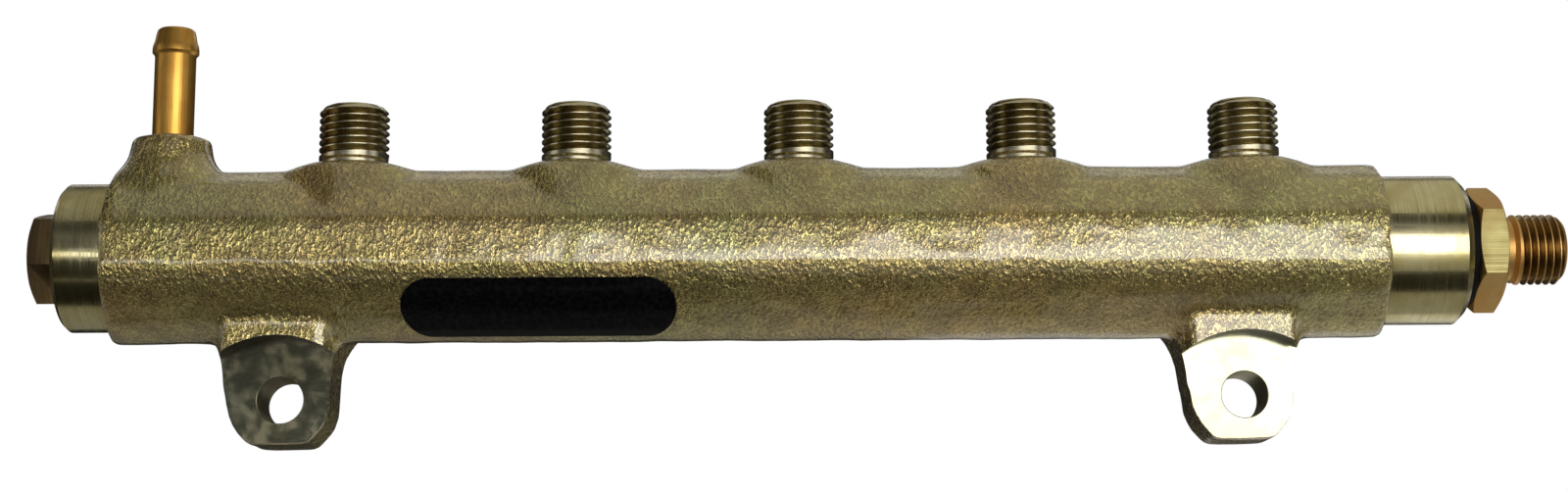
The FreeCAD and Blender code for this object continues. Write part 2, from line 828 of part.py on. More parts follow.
def build_fitting():
    """The supply fitting: thread into the rail, hexagon, neck and outer thread with a coned mouth."""
    body = part_body("end_fitting", RIGHT_FACE)
    hex_end = "(washer_thickness + fitting_hex_length)"
    thread_start = f"({hex_end} + fitting_neck_length)"
    end = f"({thread_start} + fitting_thread_length)"
    relief_end = "(washer_thickness - fitting_relief_length)"
    profile = outline(
        body,
        "ShankProfile",
        "XZ_Plane",
        [
            ("-fitting_bore_depth", "0"),
            ("washer_thickness", "0"),
            ("washer_thickness", "fitting_relief / 2"),
            (relief_end, "fitting_relief / 2"),
            (f"{relief_end} - (end_thread - fitting_relief) / 2", "end_thread / 2"),
            ("-fitting_bore_depth + turned_chamfer", "end_thread / 2"),
            ("-fitting_bore_depth", "end_thread / 2 - turned_chamfer"),
        ],
    )
    revolve(body, "Shank", profile, "H_Axis")
    hex_head(
        body, "Hexagon", "fitting_hex", "washer_thickness", "fitting_hex_length", "30", ["start", "end"]
    )
    profile = outline(
        body,
        "OuterProfile",
        "XZ_Plane",
        [
            (hex_end, "0"),
            (end, "0"),
            (end, "fitting_thread / 2 - fitting_chamfer"),
            (f"{end} - fitting_chamfer", "fitting_thread / 2"),
            (f"{thread_start} + (fitting_thread - fitting_neck) / 2", "fitting_thread / 2"),
            (thread_start, "fitting_neck / 2"),
            (hex_end, "fitting_neck / 2"),
        ],
    )
    revolve(body, "OuterStub", profile, "H_Axis")
    cone_depth = "((fitting_mouth - fitting_drilling) / 2 / tan(port_cone_angle / 2))"
    profile = outline(
        body,
        "DrillingProfile",
        "XZ_Plane",
        [
            ("-fitting_bore_depth", "0"),
            (end, "0"),
            (end, "fitting_mouth / 2"),
            (f"{end} - {cone_depth}", "fitting_drilling / 2"),
            ("-fitting_bore_depth", "fitting_drilling / 2"),
        ],
    )
    groove(body, "Drilling", profile, "H_Axis")
    return body


def slot(body, name, plane, length, width, place):
    """A long outline with round ends, about the sketch's own origin."""
    sketch = new_sketch(body, name, plane, place)
    half = f"({length} - {width}) / 2"
    reach, radius = value(half), value(width) / 2
    up = FreeCAD.Vector(0, 0, 1)
    centres = [FreeCAD.Vector(side * reach, 0, 0) for side in (1, -1)]
    rise = FreeCAD.Vector(0, radius, 0)
    right = Part.ArcOfCircle(Part.Circle(centres[0], up, radius), -math.pi / 2, math.pi / 2)
    left = Part.ArcOfCircle(Part.Circle(centres[1], up, radius), math.pi / 2, math.pi * 3 / 2)
    right, left = (sketch.addGeometry(arc, False) for arc in (right, left))
    top = sketch.addGeometry(Part.LineSegment(centres[0] + rise, centres[1] + rise), False)
    low = sketch.addGeometry(Part.LineSegment(centres[1] - rise, centres[0] - rise), False)
    for joint in ((right, 2, top, 1), (top, 2, left, 1), (left, 2, low, 1), (low, 2, right, 1)):
        sketch.addConstraint(Sketcher.Constraint("Tangent", *joint))
    for arc, across in ((right, half), (left, f"-({half})")):
        sketch.addConstraint(Sketcher.Constraint("PointOnObject", arc, 3, -1))
        constrain(sketch, "DistanceX", -1, 1, arc, 3, text=across)
        constrain(sketch, "Radius", arc, text=f"{width} / 2")
    return sketch


def build_badge():
    """The bare badge: a thin skin on the forging's lower front, cut to a long round-ended shape."""
    core = part_body("BadgeCore", "-badge_middle")
    section = outline(core, "Section", "YZ_Plane", section_corners())
    pad(core, "Core", section, "badge_length", middle=True)
    grown = document.addObject("Part::Offset", "BadgeGrowth")
    grown.Source = core
    bind(grown, Value="badge_thickness")
    skin = document.addObject("Part::Cut", "BadgeSkin")
    skin.Base = grown
    skin.Tool = core
    plate = part_body("BadgePlate", "-badge_middle")
    plate.Placement.Rotation.Axis = FreeCAD.Vector(1, 0, 0)
    bind(plate, Placement__Rotation__Angle="badge_tilt")
    shape = slot(
        plate, "PlateOutline", "XZ_Plane", "badge_length", "badge_height", ("0", "-badge_drop", "0")
    )
    pad(plate, "Plate", shape, "ridge_reach * 2")
    badge = document.addObject("Part::Common", "Badge")
    badge.Base = skin
    badge.Tool = plate
    badge.Label = "badge"
    return badge


parts = [
    build_rail(),
    build_barb(),
    build_valve_body(),
    build_valve_seat(),
    build_plunger(),
    build_spring(),
    build_shim(),
    build_ring(),
    build_washer(),
    build_fitting(),
    build_badge(),
]
document.recompute()

for item in document.Objects:
    if "Invalid" in item.State or "Error" in item.State:
        raise RuntimeError(f"{item.Label} failed: {item.State}")
for item in parts:
    if item.Shape.isNull() or not item.Shape.isValid() or not item.Shape.Solids:
        raise RuntimeError(f"{item.Label} has no valid solid")

os.makedirs("parts", exist_ok=True)
for item in parts:
    item.Shape.exportStep(f"parts/{item.Label}.step")
    print(f"{item.Label}: {len(item.Shape.Solids)} solid, {item.Shape.Volume:.1f} cubic millimetres")
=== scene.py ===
# %% [markdown]
# # A forged fuel rail for a diesel engine
# The rail is one steel forging about 250 mm long, with five threaded ports on top, a brass return
# barb, two mounting lugs, a valve screwed into its left end and a fitting into its right. This
# lesson dresses the CAD model: it forges a rough blank, machines it, turns and threads the small
# pieces, and gives every surface the finish that its making left on it, with painted shade added in
# the forging's pits, on the steps above the lug faces and on the fitting's front and back flats.

import math

import bmesh
import bpy
from mathutils import Matrix, Vector


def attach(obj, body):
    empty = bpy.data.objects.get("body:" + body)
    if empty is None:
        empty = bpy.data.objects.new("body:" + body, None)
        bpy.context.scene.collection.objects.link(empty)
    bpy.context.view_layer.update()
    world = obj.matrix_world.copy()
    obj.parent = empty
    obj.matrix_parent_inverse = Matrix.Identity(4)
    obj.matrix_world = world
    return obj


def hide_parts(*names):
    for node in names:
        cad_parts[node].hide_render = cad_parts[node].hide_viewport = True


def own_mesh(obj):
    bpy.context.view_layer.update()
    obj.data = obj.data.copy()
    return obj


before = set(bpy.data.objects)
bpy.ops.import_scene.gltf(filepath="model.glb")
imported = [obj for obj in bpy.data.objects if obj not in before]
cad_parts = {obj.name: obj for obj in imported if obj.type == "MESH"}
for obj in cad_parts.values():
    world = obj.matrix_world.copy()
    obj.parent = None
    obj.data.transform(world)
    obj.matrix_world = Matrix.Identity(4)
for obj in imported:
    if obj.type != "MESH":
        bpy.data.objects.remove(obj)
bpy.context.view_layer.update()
print("CAD nodes:", ", ".join(sorted(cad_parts)))

# %% [markdown]
# ## Where things are
# Blender works in metres, and the drawing of the rail is in millimetres about its bore. The helper
# `at` turns a drawing place (along, front, up) into a place in the scene, so each number below is one
# that a caliper would read. The origin of the scene is between the mounting bolts.

# %% Places on the rail
MM = 0.001
BORE = Vector((7.55, -9.5, 29.0))
PORTS = [-89.6, -44.8, 0.0, 44.8, 89.6]
BARB = -126.3
BOLTS = [-102.55, 87.45]
BOLT_UP = -29.0
RIDGE_UP = -3.9
BLANK_LEFT, BLANK_RIGHT = -136.8, 115.5
FACE_LEFT, FACE_RIGHT = -146.0, 131.5
TURNED_RADIUS = 14.85


def at(along, front=0.0, up=0.0):
    """A place in the scene, from millimetres along the bore, in front of it and above it."""
    return (BORE + Vector((along, -front, up))) * MM


print("middle port at", tuple(round(number, 5) for number in at(PORTS[2])))

# %% [markdown]
# ## Bench tools
# A few moves come back all the time: naming a new piece, walking into edit mode, choosing edges and
# applying a modifier. Each becomes a small function, so that the modelling below reads as steps at a
# bench. An operator works on all that is selected, so each piece is picked alone before it is worked.

# %% Pick, name and finish
def pick(*pieces):
    """Selects these pieces alone, and makes the first one active."""
    bpy.ops.object.select_all(action="DESELECT")
    for piece in pieces:
        piece.select_set(True)
    bpy.context.view_layer.objects.active = pieces[0]


def named(name):
    """Names the piece that was just added."""
    piece = bpy.context.object
    piece.name = name
    piece.data.name = name
    return piece


def edit(piece):
    """Opens a piece in edit mode with all of it selected."""
    pick(piece)
    bpy.ops.object.mode_set(mode="EDIT")
    bpy.ops.mesh.select_all(action="SELECT")


def close(piece):
    """Merges doubles, turns the faces outwards, leaves edit mode and puts the origin back."""
    bpy.ops.mesh.select_all(action="SELECT")
    bpy.ops.mesh.remove_doubles(threshold=1e-6)
    bpy.ops.mesh.normals_make_consistent(inside=False)
    bpy.ops.object.mode_set(mode="OBJECT")
    bpy.ops.object.transform_apply(location=True, rotation=True, scale=True)
    return piece


def choose_edges(piece, wanted):
    """Selects in edit mode the edges that pass a test of their two ends."""
    bpy.ops.mesh.select_all(action="DESELECT")
    bpy.ops.mesh.select_mode(type="EDGE")
    mesh = bmesh.from_edit_mesh(piece.data)
    for edge in mesh.edges:
        edge.select = wanted(edge.verts[0].co, edge.verts[1].co)
    mesh.select_flush_mode()
    bmesh.update_edit_mesh(piece.data)


def apply_all(piece):
    """Applies every modifier of a piece, in order."""
    pick(piece)
    for name in [modifier.name for modifier in piece.modifiers]:
        bpy.ops.object.modifier_apply(modifier=name)


print("bench tools ready")

# %% [markdown]
# A round piece is drawn out of one ring, the way a lathe hand thinks: so far along, so wide. A flat
# piece starts as a ring with a corner for each corner of its outline. A forged boss is a stack of
# ovals with a skin bridged over them.

# %% Rings, outlines and stacks
COURSES = {"along": Vector((1, 0, 0)), "up": Vector((0, 0, 1)), "back": Vector((0, 1, 0))}
TURNS = {"along": (0, math.pi / 2, 0), "up": (0, 0, 0), "back": (-math.pi / 2, 0, 0)}


def turned(name, centre, way, steps, sides=96):
    """A round piece, drawn from step to step (distance, radius). Its ends close, or meet in a loop."""
    course = COURSES[way]
    start, radius = steps[0]
    bpy.ops.mesh.primitive_circle_add(
        vertices=sides, radius=radius * MM, location=centre + course * start * MM, rotation=TURNS[way]
    )
    piece = named(name)
    edit(piece)
    for (before, small), (after, large) in zip(steps, steps[1:]):
        move = course * (after - before) * MM
        bpy.ops.mesh.extrude_region_move(TRANSFORM_OT_translate={"value": move})
        growth = [1 if part else large / small for part in course]
        bpy.ops.transform.resize(value=growth, center_override=centre)
    bpy.ops.mesh.select_all(action="SELECT")
    bpy.ops.mesh.remove_doubles(threshold=1e-6)
    bpy.ops.mesh.fill_holes(sides=0)
    return close(piece)


def from_face(face, steps):
    """Steps that are told from a face, as steps along the bore."""
    return [(face + along, radius) for along, radius in steps]


def outlined(name, corners, push):
    """A flat outline through these places, pushed out to a thickness."""
    bpy.ops.mesh.primitive_circle_add(vertices=len(corners), radius=MM, fill_type="NGON")
    piece = named(name)
    for vertex, corner in zip(piece.data.vertices, corners):
        vertex.co = corner
    edit(piece)
    bpy.ops.mesh.extrude_region_move(TRANSFORM_OT_translate={"value": push})
    return close(piece)


def stacked(name, centre, rings, sides=64):
    """A forged boss: ovals (up, length, width) in a stack, bridged from the lowest to the highest."""
    bpy.ops.mesh.primitive_circle_add(vertices=sides, radius=0.5 * MM, location=centre)
    piece = named(name)
    edit(piece)
    bpy.ops.mesh.delete(type="VERT")
    for up, length, width in rings:
        place = centre + Vector((0, 0, up * MM))
        bpy.ops.mesh.primitive_circle_add(vertices=sides, radius=0.5 * MM, location=place)
        bpy.ops.transform.resize(value=(length, width, 1), center_override=place)
    bpy.ops.mesh.select_all(action="SELECT")
    bpy.ops.mesh.bridge_edge_loops()
    bpy.ops.mesh.select_all(action="SELECT")
    bpy.ops.mesh.fill_holes(sides=0)
    return close(piece)


print("ways to start a piece:", ", ".join(tool.__name__ for tool in (turned, outlined, stacked)))

# %% [markdown]
# Two more tools join and cut. A tool that cuts leaves its own finish on what it has cut, just as a
# milling cutter does, because the Boolean modifier carries the cutter's material over.

# %% Cut, add and copy
def worked(piece, tool, operation):
    """Cuts a piece with a tool, adds the tool to it or keeps what both share. The tool is used up."""
    modifier = piece.modifiers.new(operation.title(), "BOOLEAN")
    modifier.operation = operation
    modifier.solver = "EXACT"
    modifier.material_mode = "TRANSFER"
    modifier.object = tool
    apply_all(piece)
    bpy.data.objects.remove(tool)
    return piece


def joined(name, pieces):
    """Puts separate pieces into one object."""
    pick(*pieces)
    bpy.ops.object.join()
    return named(name)


def copied(piece, name, along):
    """A copy with a mesh of its own, so many millimetres further along."""
    pick(piece)
    bpy.ops.object.duplicate()
    twin = named(name)
    twin.location.x += along * MM
    bpy.ops.object.transform_apply(location=True, rotation=True, scale=True)
    return twin


def finished(piece, material=None):
    """Gives a piece its finish and smooths it up to its crisp edges."""
    if material:
        piece.data.materials.clear()
        piece.data.materials.append(material)
    pick(piece)
    bpy.ops.object.shade_smooth_by_angle(angle=math.radians(32))
    return piece


def eased(piece, width, segments):
    """Breaks the sharp edges of a turned or milled piece, as a file would."""
    modifier = piece.modifiers.new("Eased", "BEVEL")
    modifier.width = width * MM
    modifier.segments = segments
    modifier.limit_method = "ANGLE"
    modifier.angle_limit = math.radians(28)
    apply_all(piece)
    return piece


print("cutting tools ready")

# %% [markdown]
# ## Finishes
# The forging was zinc plated and passivated an olive yellow. The plating follows the forging's rough
# skin, so the skin needs a height of its own. Several finishes share such effects, and each is a node
# group: it takes a place and gives back a height or a mask, and the shader stays in the material.

# %% Node helpers
def new_group(name, inputs, outputs):
    """An empty node group with number or vector inputs, and number outputs."""
    group = bpy.data.node_groups.new(name, "ShaderNodeTree")
    for label, kind, default in inputs:
        socket = group.interface.new_socket(label, in_out="INPUT", socket_type=kind)
        if default is not None:
            socket.default_value = default
    for label in outputs:
        group.interface.new_socket(label, in_out="OUTPUT", socket_type="NodeSocketFloat")
    start = group.nodes.new("NodeGroupInput")
    end = group.nodes.new("NodeGroupOutput")
    return group, start, end


def add(tree, kind, links=(), **settings):
    """Adds a node, sets its properties, and links or sets its inputs given as (input, source)."""
    node = tree.nodes.new("ShaderNode" + kind)
    for name, setting in settings.items():
        setattr(node, name, setting)
    for socket, source in links:
        if isinstance(source, bpy.types.NodeSocket):
            tree.links.new(source, node.inputs[socket])
        else:
            node.inputs[socket].default_value = source
    return node


def maths(tree, operation, first, second=0.0):
    """A Math node's result."""
    return add(tree, "Math", [(0, first), (1, second)], operation=operation).outputs[0]


def noise(tree, place, scale, detail):
    """A Noise texture's grey value, between 0 and 1."""
    links = [("Vector", place), ("Scale", scale), ("Detail", detail)]
    return add(tree, "TexNoise", links).outputs[0]


def spread(tree, source, low, high, to_low, to_high):
    """A Map Range node's result, held within its ends."""
    links = [(0, source), (1, low), (2, high), (3, to_low), (4, to_high)]
    return add(tree, "MapRange", links).outputs[0]


def tint(tree, mask, first, second):
    """A colour between two, by a mask. Each is a colour of three numbers or a node's colour."""
    links = [(0, mask)]
    for socket, shade in ((6, first), (7, second)):
        links.append((socket, (*shade, 1) if isinstance(shade, tuple) else shade))
    return add(tree, "Mix", links, data_type="RGBA").outputs[2]


print("node helpers ready")

# %% [markdown]
# ** Forged skin.** Scale and shot blasting leave a skin of shallow lumps, less than a millimetre
# across, with finer grit on it. Two noises and smooth cells give the height. A short steep step in it
# makes the lumps glint one by one, and the deep places are given as a mask. Dirt and dark passivation
# stay there, and the forging also darkens them with it as painted shade.

# %% Group: forged skin
def make_skin_group():
    """Height and pits of a blasted forging."""
    inputs = [("Place", "NodeSocketVector", None), ("Lump size", "NodeSocketFloat", 0.7)]
    group, start, end = new_group("Forged skin", inputs, ["Height", "Pits"])
    often = maths(group, "DIVIDE", 1000.0, start.outputs["Lump size"])
    finer = maths(group, "MULTIPLY", often, 2.6)
    lean = (0, math.radians(28), 0)
    slant = [(0, start.outputs["Place"]), ("Rotation", lean), ("Scale", (1.0, 0.9, 0.6))]
    place = add(group, "Mapping", slant).outputs[0]
    lumps = noise(group, place, often, 2.0)
    grit = noise(group, place, finer, 2.0)
    cells = add(group, "TexVoronoi", [("Vector", place), ("Scale", often)], feature="SMOOTH_F1")
    height = maths(group, "MULTIPLY", lumps, 0.9)
    height = maths(group, "ADD", height, maths(group, "MULTIPLY", grit, 0.35))
    height = maths(group, "SUBTRACT", height, maths(group, "MULTIPLY", cells.outputs[0], 0.35))
    steep = maths(group, "ADD", height, spread(group, height, 0.43, 0.50, 0.0, 0.4))
    group.links.new(steep, end.inputs["Height"])
    group.links.new(spread(group, height, 0.30, 0.62, 1.0, 0.0), end.inputs["Pits"])
    return group


SKIN = make_skin_group()
print("made", SKIN.name)

# %% [markdown]
# **Stains.** Passivation never comes out even: it drifts from green to brown over some centimetres,
# and shows small cloudy spots. One slow noise and one quick one are enough.

# %% Group: stains
def make_stain_group():
    """Slow drift and small clouds of a plated surface."""
    inputs = [("Place", "NodeSocketVector", None), ("Drift size", "NodeSocketFloat", 25.0)]
    group, start, end = new_group("Stains", inputs, ["Drift", "Clouds"])
    slow = maths(group, "DIVIDE", 1000.0, start.outputs["Drift size"])
    quick = maths(group, "MULTIPLY", slow, 6.0)
    place = start.outputs["Place"]
    drift = noise(group, place, slow, 3.0)
    clouds = noise(group, place, quick, 4.0)
    group.links.new(spread(group, drift, 0.35, 0.65, 0.0, 1.0), end.inputs["Drift"])
    group.links.new(spread(group, clouds, 0.42, 0.62, 0.0, 1.0), end.inputs["Clouds"])
    return group


STAINS = make_stain_group()
print("made", STAINS.name)

# %% [markdown]
# **Edge wear.** Handling rubs the passivation off edges and high spots first. Pointiness knows where
# a surface is sharp, and a noise breaks the wear up, so that it is never an even line.

# %% Group: edge wear
def make_wear_group():
    """Where edges and high spots are rubbed bright."""
    inputs = [("Place", "NodeSocketVector", None), ("Amount", "NodeSocketFloat", 0.5)]
    group, start, end = new_group("Edge wear", inputs, ["Worn"])
    sharp = add(group, "NewGeometry").outputs["Pointiness"]
    sharp = spread(group, sharp, 0.52, 0.60, 0.0, 1.0)
    patches = noise(group, start.outputs["Place"], 420.0, 3.0)
    patches = spread(group, patches, 0.40, 0.62, 0.0, 1.0)
    worn = maths(group, "MULTIPLY", maths(group, "MULTIPLY", sharp, patches), start.outputs["Amount"])
    group.links.new(worn, end.inputs["Worn"])
    return group


WEAR = make_wear_group()
print("made", WEAR.name)

# %% [markdown]
# **Tool marks.** A lathe tool leaves fine rings and a milling cutter leaves arcs. Both are the same
# pattern, bands that count distance: along the axis for a lathe, and from the cutter's centre for a
# mill. Each material hands in the distance, and the group gives bands that are uneven in strength.

# %% Group: tool marks
def make_marks_group():
    """Fine uneven grooves, from a distance in metres and the feed in millimetres."""
    inputs = [
        ("Place", "NodeSocketVector", None),
        ("Distance", "NodeSocketFloat", 0.0),
        ("Feed", "NodeSocketFloat", 0.2),
    ]
    group, start, end = new_group("Tool marks", inputs, ["Height", "Streaks"])
    far = maths(group, "MULTIPLY", start.outputs["Distance"], 1000.0)
    count = maths(group, "DIVIDE", far, start.outputs["Feed"])
    waves = maths(group, "SINE", maths(group, "MULTIPLY", count, math.tau))
    links = [("W", count), ("Scale", 0.37), ("Detail", 3.0)]
    lines = add(group, "TexNoise", links, noise_dimensions="1D").outputs[0]
    patches = noise(group, start.outputs["Place"], 160.0, 2.0)
    height = maths(group, "MULTIPLY", waves, spread(group, patches, 0.35, 0.65, 0.2, 0.6))
    group.links.new(maths(group, "ADD", height, lines), end.inputs["Height"])
    broken = spread(group, patches, 0.35, 0.65, 0.3, 1.0)
    streaks = maths(group, "MULTIPLY", spread(group, lines, 0.40, 0.62, 0.0, 1.0), broken)
    group.links.new(streaks, end.inputs["Streaks"])
    return group


MARKS = make_marks_group()
print("made", MARKS.name)

# %% [markdown]
# ## Materials from the groups
# Every metal finish starts the same way: a Principled shader that is metallic, with the piece's own
# object coordinates. What differs is which effects feed its colour, roughness and bump.

# %% A metal to start from
def new_metal(name, metallic=1.0):
    """A material with its Principled shader, and the place on the piece."""
    material = bpy.data.materials.new(name)
    material.use_nodes = True
    tree = material.node_tree
    shader = tree.nodes["Principled BSDF"]
    shader.inputs["Metallic"].default_value = metallic
    place = add(tree, "TexCoord").outputs["Object"]
    return material, tree, shader, place


def effect(tree, group, **inputs):
    """One of the shared groups, placed in a material."""
    node = tree.nodes.new("ShaderNodeGroup")
    node.node_tree = group
    for name, source in inputs.items():
        socket = node.inputs[name.replace("_", " ")]
        if isinstance(source, bpy.types.NodeSocket):
            tree.links.new(source, socket)
        else:
            socket.default_value = source
    return node.outputs


def bump(tree, shader, height, strength, depth):
    """Feeds a height in millimetres of depth to the shader's normal."""
    links = [("Height", height), ("Strength", strength), ("Distance", depth * MM)]
    node = add(tree, "Bump", links)
    tree.links.new(node.outputs[0], shader.inputs["Normal"])


print("shared groups:", ", ".join(group.name for group in (SKIN, STAINS, WEAR, MARKS)))

# %% [markdown]
# ** Forging.** Olive passivation on the rough skin: greener where it is thick, browner where the drift
# goes the other way, dark in the pits, partly from passivation and partly as painted shade, and bright
# on rubbed edges. The film over the zinc is clear and shiny by itself, so a clear coat lies on top.

# %% Material: forging
def forging_finish():
    """Zinc plate with olive passivation on a forged skin."""
    material, tree, shader, place = new_metal("forging_olive", 0.95)
    shader.inputs["Coat Weight"].default_value = 1.0
    shader.inputs["Coat IOR"].default_value = 1.7
    shader.inputs["Coat Roughness"].default_value = 0.14
    skin = effect(tree, SKIN, Place=place, Lump_size=0.70)
    stains = effect(tree, STAINS, Place=place, Drift_size=28.0)
    worn = effect(tree, WEAR, Place=place, Amount=0.5)["Worn"]
    colour = tint(tree, stains["Drift"], (0.53, 0.49, 0.18), (0.67, 0.48, 0.18))
    colour = tint(tree, maths(tree, "MULTIPLY", stains["Clouds"], 0.6), colour, (0.36, 0.26, 0.11))
    # Darker in the pits: the passivation there, with painted shade on top of it.
    colour = tint(tree, maths(tree, "MULTIPLY", skin["Pits"], 0.55), colour, (0.17, 0.14, 0.04))
    colour = tint(tree, worn, colour, (0.80, 0.78, 0.68))
    tree.links.new(colour, shader.inputs["Base Color"])
    rough = spread(tree, skin["Pits"], 0.0, 1.0, 0.10, 0.30)
    tree.links.new(rough, shader.inputs["Roughness"])
    bump(tree, shader, skin["Height"], 1.0, 0.42)
    return material


FORGING = forging_finish()
print("made", FORGING.name)

# %% [markdown]
# **Turned and threaded steel.** The same plating on a lathe-cut surface shows brighter and shinier,
# with rings round the axis. Threads run darker and more golden, since the bath stays in the grooves.

# %% Materials: lathe-cut steel
def lathe_finish(name, way, light, dark, feed, roughness, depth):
    """Plated steel with lathe marks round an axis."""
    material, tree, shader, place = new_metal(name)
    axis = {"along": "X", "up": "Z", "back": "Y"}[way]
    distance = add(tree, "SeparateXYZ", [(0, place)]).outputs[axis]
    marks = effect(tree, MARKS, Place=place, Distance=distance, Feed=feed)
    stains = effect(tree, STAINS, Place=place, Drift_size=9.0)
    colour = tint(tree, stains["Drift"], light, dark)
    colour = tint(tree, maths(tree, "MULTIPLY", marks["Streaks"], 0.6), colour, dark)
    tree.links.new(colour, shader.inputs["Base Color"])
    rough = spread(tree, marks["Streaks"], 0.0, 1.0, roughness, roughness + 0.12)
    tree.links.new(rough, shader.inputs["Roughness"])
    bump(tree, shader, marks["Height"], 0.5, depth)
    return material


TURNED_ENDS = lathe_finish(
    "turned_ends", "along", (0.63, 0.58, 0.35), (0.42, 0.35, 0.15), 0.22, 0.17, 0.012
)
TURNED_UP = lathe_finish(
    "turned_upright", "up", (0.62, 0.58, 0.44), (0.45, 0.40, 0.26), 0.18, 0.22, 0.01
)
THREAD = lathe_finish("thread_gold", "up", (0.50, 0.44, 0.25), (0.30, 0.24, 0.11), 0.15, 0.22, 0.006)
BORED = lathe_finish("bored_steel", "back", (0.60, 0.56, 0.38), (0.42, 0.37, 0.20), 0.2, 0.30, 0.01)
print("made", TURNED_ENDS.name, TURNED_UP.name, THREAD.name, BORED.name)

# %% [markdown]
# **Milled lug faces.** One pass of a big cutter left wide arcs, centred a little below each bolt
# hole. The two lugs mirror each other, so the distance uses how far a place is from the middle.

# %% Materials: milled faces, and their step in painted shade
HALF_SPACING = 95.0
FACING_RADIUS, FACING_DROP = 20.0, 7.75


def milled_finish():
    """Bright milled steel with cutter arcs about each lug."""
    material, tree, shader, place = new_metal("milled_faces")
    parts = add(tree, "SeparateXYZ", [(0, place)])
    across = maths(tree, "SUBTRACT", maths(tree, "ABSOLUTE", parts.outputs["X"]), HALF_SPACING * MM)
    up = maths(tree, "ADD", parts.outputs["Z"], FACING_DROP * MM)
    square = maths(tree, "MULTIPLY", across, across)
    square = maths(tree, "ADD", square, maths(tree, "MULTIPLY", up, up))
    distance = maths(tree, "SQRT", square)
    marks = effect(tree, MARKS, Place=place, Distance=distance, Feed=0.22)
    stains = effect(tree, STAINS, Place=place, Drift_size=14.0)
    colour = tint(tree, stains["Drift"], (0.42, 0.43, 0.31), (0.32, 0.31, 0.20))
    colour = tint(tree, maths(tree, "MULTIPLY", stains["Clouds"], 0.45), colour, (0.36, 0.29, 0.16))
    tree.links.new(colour, shader.inputs["Base Color"])
    rough = spread(tree, stains["Clouds"], 0.0, 1.0, 0.10, 0.17)
    tree.links.new(rough, shader.inputs["Roughness"])
    bump(tree, shader, marks["Height"], 0.4, 0.004)
    return material


MILLED = milled_finish()
# The step's wall faces down, and its nearly black colour is painted shade.
STEP_PAINTED_SHADE = lathe_finish("milled_step_painted_shade", "back", (0.08, 0.07, 0.045), (0.05, 0.04, 0.03), 0.4, 0.45, 0.01)
print("made", MILLED.name, STEP_PAINTED_SHADE.name)

# %% [markdown]
# ## Forging the blank
# The bar's section has a crown, a nearly upright side, a parting ridge where the two dies met, and a
# keel. Drawn corner by corner and pushed out along the rail, its long edges are then rounded. The
# ridge is left sharper than the rest, as flash trimming leaves it.

# %% The bar
SECTION = [(3.2, 17.2), (9.7, 13.3), (15.2, 5.3), (15.25, RIDGE_UP)]
SECTION += [(14.2, -6.8), (12.0, -9.9), (6.2, -15.4), (2.0, -17.4)]


def forge_bar():
    """The bar from end to end of the rough forging."""
    halves = SECTION + [(-front, up) for front, up in reversed(SECTION)]
    corners = [at(BLANK_LEFT, front, up) for front, up in halves]
    bar = outlined("bar", corners, ((BLANK_RIGHT - BLANK_LEFT) * MM, 0, 0))
    edit(bar)
    ridge = at(0, 0, RIDGE_UP).z
    choose_edges(bar, lambda a, b: abs(a.x - b.x) > 0.1 and abs(a.z - ridge) > 1e-4)
    bpy.ops.mesh.bevel(offset=1.7 * MM, segments=4, affect="EDGES")
    choose_edges(bar, lambda a, b: abs(a.x - b.x) > 0.1 and abs(a.z - ridge) < 1e-4)
    bpy.ops.mesh.bevel(offset=0.5 * MM, segments=2, affect="EDGES")
    return close(bar)


bar = forge_bar()
print("bar:", len(bar.data.polygons), "faces")

# %% [markdown]
# The metal was squeezed up into a boss for the return barb and a low pad under each port. Both
# flare out at the foot, so each is a stack of ovals. The boss stands at the very end, and the die
# cut its foot off flat there, which is a bisect.

# %% Boss and pads
def forge_boss():
    """The return boss, cut flat at the bar's left end."""
    rings = [(8.0, 26.0, 24.0), (15.6, 25.4, 19.4), (17.4, 20.6, 17.6), (19.6, 17.2, 16.6)]
    rings += [(22.0, 16.1, 16.0), (24.2, 15.6, 15.6)]
    boss = stacked("boss", at(BARB), rings)
    edit(boss)
    bpy.ops.mesh.bisect(plane_co=at(BLANK_LEFT), plane_no=(-1, 0, 0), clear_outer=True, use_fill=True)
    return close(boss)


def forge_pads():
    """A pad under each port."""
    rings = [(5.3, 29.0, 29.8), (9.0, 30.4, 26.6), (15.8, 29.4, 20.8)]
    rings += [(17.2, 26.0, 18.8), (18.0, 20.0, 17.4), (18.4, 16.6, 16.6)]
    first = stacked("pad_1", at(PORTS[0]), rings)
    others = [copied(first, f"pad_{i}", PORTS[i - 1] - PORTS[0]) for i in range(2, 6)]
    return [first] + others


boss = forge_boss()
pads = forge_pads()
print("boss and", len(pads), "pads")

# %% [markdown]
# The lugs hang under the bar, tapered, with round lower corners. They are thicker than the finished
# lug, because the cutter still has to face them.

# %% Lugs
LUG_REACH = 8.75


